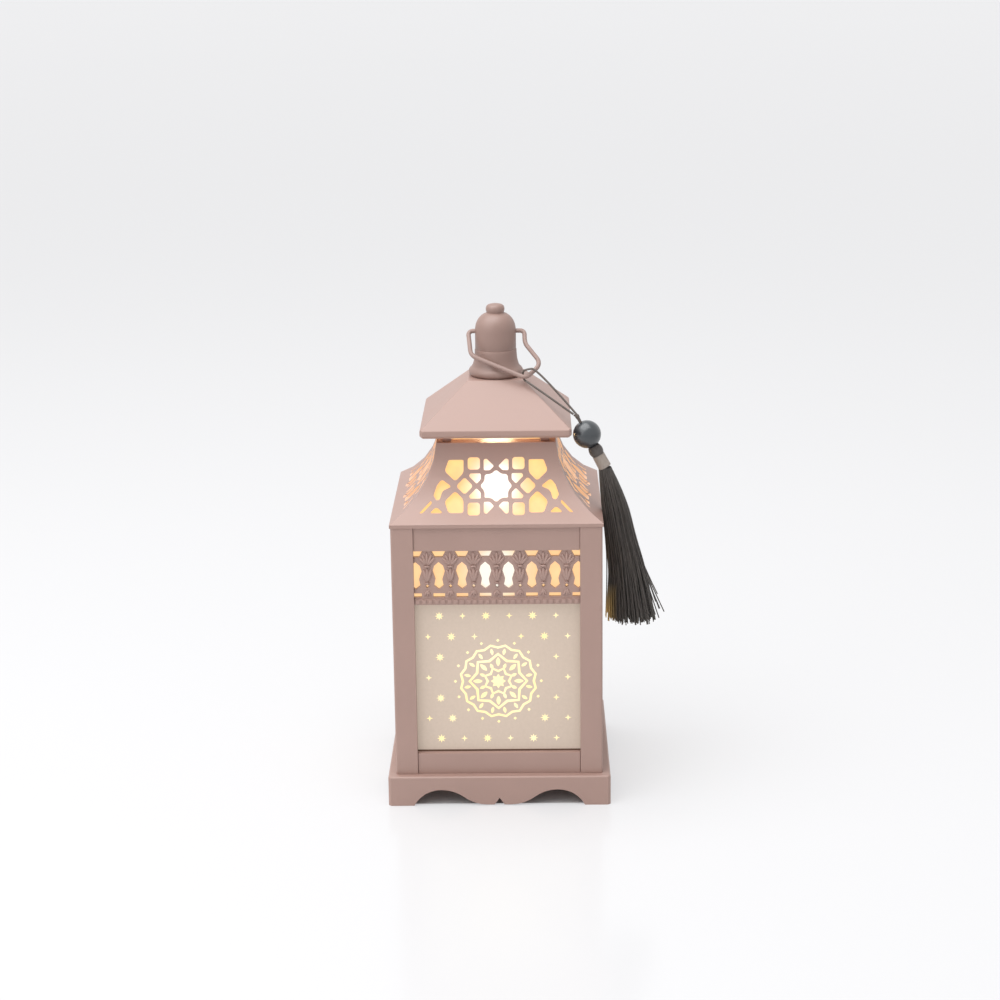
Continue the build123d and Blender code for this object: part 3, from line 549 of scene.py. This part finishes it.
def cell_corners(form, least_turn):
    """The lattice's edges that run from its front to its back, each with the width of its narrower wall."""
    form.normal_update()
    corners = []
    for edge in form.edges:
        start, end = (vert.co for vert in edge.verts)
        middle = (start + end) / 2
        along = abs((end - start).normalized().dot(lattice_facing(middle)))
        in_lattice = lattice_foot < middle.z < lattice_head
        if in_lattice and along > nearly_along and edge.calc_face_angle(0) > math.radians(least_turn):
            corners.append((edge, min(face.calc_area() for face in edge.link_faces) / edge.calc_length()))
    return corners


def round_cells(form):
    """Rounds the corners of the lattice's cells as the mould leaves them, those of wide walls more."""
    for reach, least_turn, is_wide in ((wide_round, 20, True), (narrow_round, 40, False)):
        chosen = [edge for edge, wall in cell_corners(form, least_turn) if (wall > wide_wall) == is_wide]
        bmesh.ops.bevel(
            form, geom=chosen, offset=reach, offset_type="OFFSET", segments=4, profile=0.5, affect="EDGES",
            clamp_overlap=False, material=-1,
        )


def give_glow(material, color, strength):
    """Makes a material give light of its own."""
    shader = material.node_tree.nodes["Principled BSDF"]
    shader.inputs["Emission Color"].default_value = (*color, 1)
    shader.inputs["Emission Strength"].default_value = strength


roof_moulding = pink_moulding("flared_roof", "roof_moulding", roof_edge, sharp=40, shaping=round_cells)
# Painted glow: the cells' walls wear a copy of the pink that glows faintly, for the lamp's warm light on
# them.
painted_glow_wall = skin_material("cell_wall_painted_glow", dusty_pink, pink_roughness)
give_glow(painted_glow_wall, (1.0, 0.62, 0.33), 0.5)
roof_moulding.data.materials.append(painted_glow_wall)
for face in roof_moulding.data.polygons:
    along = abs(face.normal.dot(lattice_facing(face.center)))
    if along < nearly_across and lattice_foot < face.center.z < lattice_head:
        face.material_index = 1


# Roof liner: a thin formed film just inside the lattice, whose spread light is painted in as a glow of its
# own, in warm patches, and white where the lamp stands straight behind the star.
roof_glow, parts, wires = new_material("roof_film")
film_shader = parts["Principled BSDF"]
film_place = parts.new("ShaderNodeTexCoord")
film_axes = parts.new("ShaderNodeSeparateXYZ")
wires.new(film_place.outputs["Object"], film_axes.inputs["Vector"])
film_patches = parts.new("ShaderNodeTexNoise")
film_patches.inputs["Scale"].default_value = 150
film_patches.inputs["Detail"].default_value = 2
wires.new(film_place.outputs["Object"], film_patches.inputs["Vector"])
film_across = value_node(
    parts, wires, "MINIMUM",
    value_node(parts, wires, "ABSOLUTE", film_axes.outputs["X"]),
    value_node(parts, wires, "ABSOLUTE", film_axes.outputs["Y"]),
)
film_lamp_level, film_lamp_size = 122.5 * mm, 7 * mm
# Painted glow: warm patches that turn white round the lamp's level.
film_up = value_node(parts, wires, "SUBTRACT", film_axes.outputs["Z"], film_lamp_level)
film_lamp = hot_spot(parts, wires, film_across, film_up, film_lamp_size)
film_warm = color_mix(parts, wires, film_patches.outputs["Fac"], (0.85, 0.38, 0.15), (0.9, 0.68, 0.24))
film_light = color_mix(parts, wires, raised_share(parts, wires, film_lamp, 2.4), film_warm, (1.0, 0.98, 0.9))
wires.new(film_light, film_shader.inputs["Emission Color"])
film_shader.inputs["Emission Strength"].default_value = 1.15
film_shader.inputs["Base Color"].default_value = (0.2, 0.14, 0.08, 1)
film_shader.inputs["Roughness"].default_value = 0.5
repaint("roof_liner", roof_glow)


# Cap: the upper roof, a low pyramid of the pink plastic on short legs over the flared roof. The lamp's
# light shows in the gap below it.
cap_edge, glow_level, glow_radius = 0.45 * mm, 142.5 * mm, 6 * mm
pink_moulding("cap", "cap_moulding", cap_edge)
glow = bpy.data.lights.new("cap_glow", "POINT")
glow.energy = 0.032
glow.color = (1.0, 0.72, 0.4)
glow.shadow_soft_size = glow_radius
cap_glow = bpy.data.objects.new("cap_glow", glow)
cap_glow.location = (0, 0, glow_level)
scene.collection.objects.link(cap_glow)


# Works inside: battery box, cells, contacts, switch, lead, board, chips and the frosted tube, and the door
# and slider under the plinth. Plain moulded and plated parts, seen only from below or through a gap.
repaint("battery_box", skin_material("box_plastic", (0.66, 0.6, 0.56), 0.5))
repaint("battery_cells", skin_material("cell_sleeve", (0.07, 0.11, 0.09), 0.25, grain=700))
repaint("switch_body", skin_material("switch_plastic", (0.022, 0.021, 0.02), 0.45))
repaint("switch_lead", skin_material("lead_jacket", (0.11, 0.025, 0.02), 0.5))
repaint("lamp_board", skin_material("board_lacquer", (0.78, 0.77, 0.7), 0.3))
plated = skin_material("plated_steel", (0.4, 0.4, 0.39), 0.35, unevenness=0.2)
plated.node_tree.nodes["Principled BSDF"].inputs["Metallic"].default_value = 1
repaint("battery_contacts", plated)
for node, color, strength in (("lamp_chips", (1.0, 0.86, 0.5), 3.0), ("lamp_tube", (1.0, 0.88, 0.66), 1.6)):
    lit = skin_material(node + "_light", (0.8, 0.74, 0.62), 0.5)
    give_glow(lit, color, strength)
    repaint(node, lit)
small_edge = 0.15 * mm
pink_moulding("battery_door", "door_moulding", small_edge, "door")
black_plastic = skin_material("slider_plastic", (0.025, 0.023, 0.022), 0.4)
eased_copy("switch_slider", "slider_moulding", small_edge, black_plastic, "slider")


# Finial: collar, flare, bell, dome and knob, moulded as one turned form and pressed into the cap, with a
# fine groove where the flare meets the bell.
finial_foot = 159.4
finial_stem = ((0, -2.6), (2.9, -2.6), (2.9, 0.0))
finial_collar = ((9.2, 0.0), (9.75, 0.3), (10.2, 0.9), (10.4, 1.7), (10.2, 2.5), (9.75, 3.1), (9.25, 3.5))
finial_flare = ((8.8, 4.3), (8.4, 5.6), (8.13, 7.2), (8.0, 9.0), (8.0, 9.9))
finial_groove = ((7.9, 10.15), (7.72, 10.2), (7.72, 10.4), (7.8, 10.55))
finial_bell = ((7.8, 14.0), (7.8, 17.0), (7.74, 18.2))
finial_dome = ((7.5, 19.6), (7.05, 20.8), (6.4, 21.9), (5.5, 22.9), (4.5, 23.6), (3.6, 23.95))
knob_neck = ((3.3, 24.15), (3.36, 24.5))
finial_knob = ((3.56, 25.1), (3.56, 25.8), (3.32, 26.6), (2.7, 27.15), (1.6, 27.45), (0, 27.5))
finial_outline = finial_stem + finial_collar + finial_flare + finial_groove
finial_outline += finial_bell + finial_dome + knob_neck + finial_knob


def turned_mesh(name, outline, steps, move):
    """A form turned about the upright axis from an outline of radius and height, moved to its place."""
    merge_gap, hard_turn = 0.0001, math.radians(50)
    form = bmesh.new()
    rim = [form.verts.new((radius, 0, height)) for radius, height in outline]
    edges = [form.edges.new(pair) for pair in zip(rim, rim[1:])]
    bmesh.ops.spin(
        form, geom=rim + edges, cent=(0, 0, 0), axis=(0, 0, 1), angle=math.tau, steps=steps, use_merge=True
    )
    bmesh.ops.remove_doubles(form, verts=form.verts, dist=merge_gap)
    bmesh.ops.recalc_face_normals(form, faces=form.faces)
    for face in form.faces:
        face.smooth = True
    for edge in form.edges:
        edge.smooth = len(edge.link_faces) == 2 and edge.calc_face_angle(0) < hard_turn
    bmesh.ops.transform(form, matrix=move, verts=form.verts)
    mesh = bpy.data.meshes.new(name)
    form.to_mesh(mesh)
    form.free()
    return mesh


# Painted shade: the finial wears a darker copy of the pink plastic, for the shade that it stands in.
finial_shaded_pink = skin_material("finial_shaded_pink", (0.315, 0.202, 0.17), pink_roughness, specular=pink_specular)
finial_move = Matrix.Scale(mm, 4) @ Matrix.Translation((0, 0, finial_foot))
finial_mesh = turned_mesh("finial_bell", finial_outline, 64, finial_move)
place_piece(finial_mesh, "finial_bell", finial_shaded_pink, "lantern", ("finial",))


# Handle: one length of thin wire, bent by hand into a lopsided loop and painted like the body; its ends
# turn in two holes in the bell.
wire_paint = skin_material("wire_paint", (0.36, 0.25, 0.22), 0.42, grain=3500)
wire_radius = 0.85 * mm
handle_tilt = math.radians(41)
handle_level = 176.4
# The place across, the drop and the radius of each bend, from the bell's left hole round to its right one.
handle_bends = (
    (-4.6, 0, 0), (-10.4, 0, 1.65), (-9.3, 10.7, 3.9), (11.4, 20.7, 3.0),
    (17.4, 14.6, 3.6), (11.2, 5.6, 6.0), (11.0, 0, 1.65), (4.6, 0, 0),
)


def rounded_route(bends, arc_steps=7):
    """The wire's line on its plane: straight runs joined by arcs at the bends."""
    line = [Vector(bends[0][:2])]
    for before, (across, drop, radius), after in zip(bends, bends[1:], bends[2:]):
        corner = Vector((across, drop))
        back = (Vector(before[:2]) - corner).normalized()
        on = (Vector(after[:2]) - corner).normalized()
        half = back.angle(on) / 2
        centre = corner + (back + on).normalized() * radius / math.sin(half)
        first = corner + back * radius / math.tan(half) - centre
        last = corner + on * radius / math.tan(half) - centre
        swing = first.angle_signed(last)
        for step in range(arc_steps + 1):
            line.append(centre + Matrix.Rotation(-swing * step / arc_steps, 2) @ first)
    return line + [Vector(bends[-1][:2])]


wire_curve = bpy.data.curves.new("handle_wire", "CURVE")
wire_curve.dimensions = "3D"
wire_curve.bevel_depth = wire_radius
wire_curve.bevel_resolution = 5
wire_curve.use_fill_caps = True
wire_line = rounded_route(handle_bends)
wire_spline = wire_curve.splines.new("POLY")
wire_spline.points.add(len(wire_line) - 1)
for point, (across, drop) in zip(wire_spline.points, wire_line):
    spot = Vector((across, -drop * math.sin(handle_tilt), handle_level - drop * math.cos(handle_tilt))) * mm
    point.co = (*spot, 1)
wire_form = bpy.data.objects.new("handle_line", wire_curve)
handle_mesh = bpy.data.meshes.new_from_object(wire_form)
bpy.data.objects.remove(wire_form)
for face in handle_mesh.polygons:
    face.use_smooth = True
place_piece(handle_mesh, "handle_wire", wire_paint, "bail", ("handle",))


# Tassel bead: a turned ball in dark blue-grey pearl lacquer, drilled along its axis. It sits between the
# cord's join and the tassel's head.
bead_middle = Vector((34.26, -20.0, 140.4))
bead_axis = Vector((-0.47, 0.05, 0.881)).normalized()


def along_tassel(distance):
    """The move that sets a turned form on the tassel's axis, at a distance up from the bead's middle."""
    lean = bead_axis.to_track_quat("Z", "Y").to_matrix().to_4x4()
    return Matrix.Scale(mm, 4) @ Matrix.Translation(bead_middle + bead_axis * distance) @ lean


bead_radius, lip_radius, bore_radius = 5.3, 1.15, 0.95
lip_end, bore_end = 5.12, 5.0
bead_round = [math.radians(angle) for angle in range(-74, 75, 7)]
bead_outline = [(0, -bore_end), (bore_radius, -bore_end), (lip_radius, -lip_end)]
bead_outline += [(bead_radius * math.cos(angle), bead_radius * math.sin(angle)) for angle in bead_round]
bead_outline += [(lip_radius, lip_end), (bore_radius, bore_end), (0, bore_end)]
bead_mesh = turned_mesh("pearl_bead", bead_outline, 48, along_tassel(0))
pearl = skin_material(
    "pearl_lacquer", (0.026, 0.032, 0.038), 0.3, unevenness=0.25, gloss_spread=0.15, grain=900, bump=0.04,
    specular=0.7,
)
pearl_shader = pearl.node_tree.nodes["Principled BSDF"]
pearl_shader.inputs["Coat Weight"].default_value = 0.5
pearl_shader.inputs["Coat Roughness"].default_value = 0.2
place_piece(bead_mesh, "pearl_bead", pearl, "tassel", ("tassel_bead",))


# Tassel cord: one thin dark length, looped round the handle's wire, whose two strands come together in a
# small join just above the bead. The loop moves with the handle, and the tassel turns at the join.
def yarn_material(name, dark, light, gloss=0.5):
    """Fine yarn: streaks of two tones and a soft sheen."""
    material, nodes, links = new_material(name)
    shader = nodes["Principled BSDF"]
    place = nodes.new("ShaderNodeTexCoord")
    stretch = nodes.new("ShaderNodeMapping")
    stretch.inputs["Scale"].default_value = (2400, 2400, 60)
    streaks = nodes.new("ShaderNodeTexNoise")
    streaks.inputs["Scale"].default_value = 1.0
    streaks.inputs["Detail"].default_value = 2
    links.new(place.outputs["Object"], stretch.inputs["Vector"])
    links.new(stretch.outputs["Vector"], streaks.inputs["Vector"])
    links.new(color_mix(nodes, links, streaks.outputs["Fac"], dark, light), shader.inputs["Base Color"])
    shader.inputs["Roughness"].default_value = gloss
    shader.inputs["Sheen Weight"].default_value = 0.12
    shader.inputs["Sheen Roughness"].default_value = 0.4
    return material


cord_yarn = yarn_material("cord_yarn", (0.085, 0.07, 0.06), (0.18, 0.15, 0.135))
cord_radius = 0.4 * mm
bead_end, join_lift, strand_lift, strand_aside = 5.1, 2.75, 1.3, 0.45
bead_across = bead_axis.cross(Vector((0, -1, 0))).normalized()
cord_seat = bead_middle + bead_axis * bead_end
join_place = cord_seat + bead_axis * join_lift
front_turn = Vector((12.4, -15.3, 159.5))
upper_turn = Vector((15.6, -13.2, 164.5))
strand_rise = ((front_turn + upper_turn) / 2 - join_place).normalized()
cord_start = join_place + strand_rise * strand_lift
cord_route = [
    cord_start - bead_across * strand_aside,
    front_turn,
    Vector((10.6, -11.55, 159.65)),
    Vector((10.2, -11.55, 162.9)),
    Vector((11.7, -13.9, 164.2)),
    upper_turn,
    cord_start + bead_across * strand_aside,
]
cord_curve = bpy.data.curves.new("tassel_loop", "CURVE")
cord_curve.dimensions = "3D"
cord_curve.resolution_u = 16
cord_curve.bevel_depth = cord_radius
cord_curve.bevel_resolution = 3
cord_spline = cord_curve.splines.new("NURBS")
cord_spline.points.add(len(cord_route) - 1)
for point, spot in zip(cord_spline.points, cord_route):
    point.co = (*(spot * mm), 1)
cord_spline.order_u = 3
cord_spline.use_endpoint_u = True
cord_curve.materials.append(cord_yarn)
tassel_loop = bpy.data.objects.new("tassel_loop", cord_curve)
scene.collection.objects.link(tassel_loop)
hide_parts("tassel_cord")
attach(tassel_loop, "bail")

join_outline = ((0, 0), (0.6, 0), (0.62, 1.7), (0.8, 2.3), (0.85, 2.75), (0.7, 3.3), (0, 3.5))
mouth_outline = ((0, -0.4), (0.66, -0.4), (0.72, 0.5), (0.82, 0.95), (0.76, 1.2), (0, 1.2))
strand_lean = strand_rise.to_track_quat("Z", "Y").to_matrix().to_4x4()
mouth_move = Matrix.Scale(mm, 4) @ Matrix.Translation(join_place) @ strand_lean
join_mesh = turned_mesh("strand_join", join_outline, 20, along_tassel(bead_end))
mouth_mesh = turned_mesh("strand_mouth", mouth_outline, 20, mouth_move)
join_form = bmesh.new()
join_form.from_mesh(join_mesh)
join_form.from_mesh(mouth_mesh)
join_form.to_mesh(join_mesh)
join_form.free()
strand_join = place_piece(join_mesh, "strand_join", cord_yarn, "tassel", ("cord_join",))


# Tassel head and binding: the yarn's dark folded top under the bead, then a tight band of pale thread wound
# round it.
wound_thread = yarn_material("wound_thread", (0.27, 0.22, 0.19), (0.42, 0.36, 0.31), 0.55)
head_yarn = yarn_material("head_yarn", (0.06, 0.05, 0.045), (0.15, 0.13, 0.12), 0.5)
head_length, head_steps = 4.0, 24
head_outline = [(0, 0), (1.6, 0)]
for step in range(head_steps + 1):
    swell = 2.15 + 0.5 * math.sin(math.pi * step / head_steps)
    ridge = 0.1 if step % 2 else -0.05
    head_outline.append((swell + ridge, -head_length * step / head_steps))
head_outline.append((0, -head_length))
band_length, band_steps = 5.2, 36
band_outline = [(0, 0), (2.2, 0)]
for step in range(band_steps + 1):
    swell = 2.36 + 0.12 * step / band_steps
    ridge = 0.05 if step % 2 else -0.04
    band_outline.append((swell + ridge, -band_length * step / band_steps))
band_outline.append((0, -band_length))
for name, outline, start, node, yarn in (
    ("wrapped_head", head_outline, bead_end, "tassel_head", head_yarn),
    ("thread_binding", band_outline, bead_end + head_length, "tassel_binding", wound_thread),
):
    mesh = turned_mesh(name, outline, 40, along_tassel(-start))
    place_piece(mesh, name, yarn, "tassel", (node,))


# Tassel skirt: some hundreds of fine glossy strands that fall from the binding, spread, and end unevenly,
# with the window's yellow light painted into the colour of those low down on its side.
strand_yarn = yarn_material("strand_yarn", (0.003, 0.002, 0.002), (0.125, 0.104, 0.09), 0.42)
parts, wires = strand_yarn.node_tree.nodes, strand_yarn.node_tree.links
strand_shader = parts["Principled BSDF"]
strand_place = parts.new("ShaderNodeSeparateXYZ")
wires.new(parts["Texture Coordinate"].outputs["Object"], strand_place.inputs["Vector"])
# Painted light: below a level and left of a line the strands are tinted golden, for the window's light on
# them.
lit_below, low_slope = 83 * mm, 70
lit_left_of, left_slope = 45.5 * mm, 250
low_share = value_node(
    parts, wires, "MULTIPLY_ADD", strand_place.outputs["Z"], -low_slope, low_slope * lit_below
)
left_share = value_node(
    parts, wires, "MULTIPLY_ADD", strand_place.outputs["X"], -left_slope, left_slope * lit_left_of
)
painted_light_share = value_node(parts, wires, "MINIMUM", low_share, left_share)
painted_light_share.node.use_clamp = True
plain_color = strand_shader.inputs["Base Color"].links[0].from_socket
painted_light_color = color_mix(parts, wires, painted_light_share, plain_color, (0.62, 0.4, 0.12))
wires.new(painted_light_color, strand_shader.inputs["Base Color"])

strand_radius = 0.21 * mm
skirt_start = bead_end + head_length + band_length
skirt_line = [
    bead_middle - bead_axis * skirt_start,
    Vector((44.3, -20.9, 115.5)),
    Vector((46.8, -20.9, 100.8)),
    Vector((49.5, -20.9, 86.1)),
    Vector((50.9, -20.9, 66.8)),
]
skirt_halves = (2.3, 4.7, 5.2, 6.9, 8.7)
skirt_depth = 0.72
rim_pull = 0.4
bow_spread, sway_spread = (0.5, 0.4), (0.9, 0.7)
stray_across, stray_up = (0.4, 1.3), (0, 0.7)
even_ends, short_ends, even_share = (0, 3.2), (3, 8), 0.75
draw = random.Random(7)


def strand_curve(name, count, reach, arc, flick):
    """A bundle of strands: each keeps its place in the skirt's oval, bows a little and ends unevenly."""
    curve = bpy.data.curves.new(name, "CURVE")
    curve.dimensions = "3D"
    curve.bevel_depth = strand_radius
    curve.bevel_resolution = 0
    curve.resolution_u = 4
    last = len(skirt_line) - 1
    for _ in range(count):
        out = reach[0] + (reach[1] - reach[0]) * draw.random() ** rim_pull
        turn = arc[0] + (arc[1] - arc[0]) * draw.random()
        bow = Vector((draw.gauss(0, bow_spread[0]), draw.gauss(0, bow_spread[1]), 0))
        sway = Vector((draw.gauss(0, sway_spread[0]), draw.gauss(0, sway_spread[1]), 0))
        stray = Vector((flick * draw.uniform(*stray_across), 0, flick * draw.uniform(*stray_up)))
        cut = draw.uniform(*even_ends) if draw.random() < even_share else draw.uniform(*short_ends)
        spline = curve.splines.new("NURBS")
        spline.points.add(last)
        for step, (point, middle, half) in enumerate(zip(spline.points, skirt_line, skirt_halves)):
            deep = 1 if step == 0 else skirt_depth
            spot = middle + Vector((half * out * math.cos(turn), half * deep * out * math.sin(turn), 0))
            down = step / last
            spot += bow * math.sin(math.pi * step / last) + sway * down**2 + stray * down**6
            if step == last:
                spot.z += cut
            point.co = (*(spot * mm), 1)
        spline.order_u = 3
        spline.use_endpoint_u = True
    curve.materials.append(strand_yarn)
    piece = bpy.data.objects.new(name, curve)
    scene.collection.objects.link(piece)
    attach(piece, "tassel")
    return piece


strands = strand_curve("tassel_strands", 640, (0.1, 1.0), (0, math.tau), 0)
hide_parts("tassel_skirt")
strand_curve("stray_strands", 9, (0.85, 1.0), (-0.9, 0.9), 3.6)
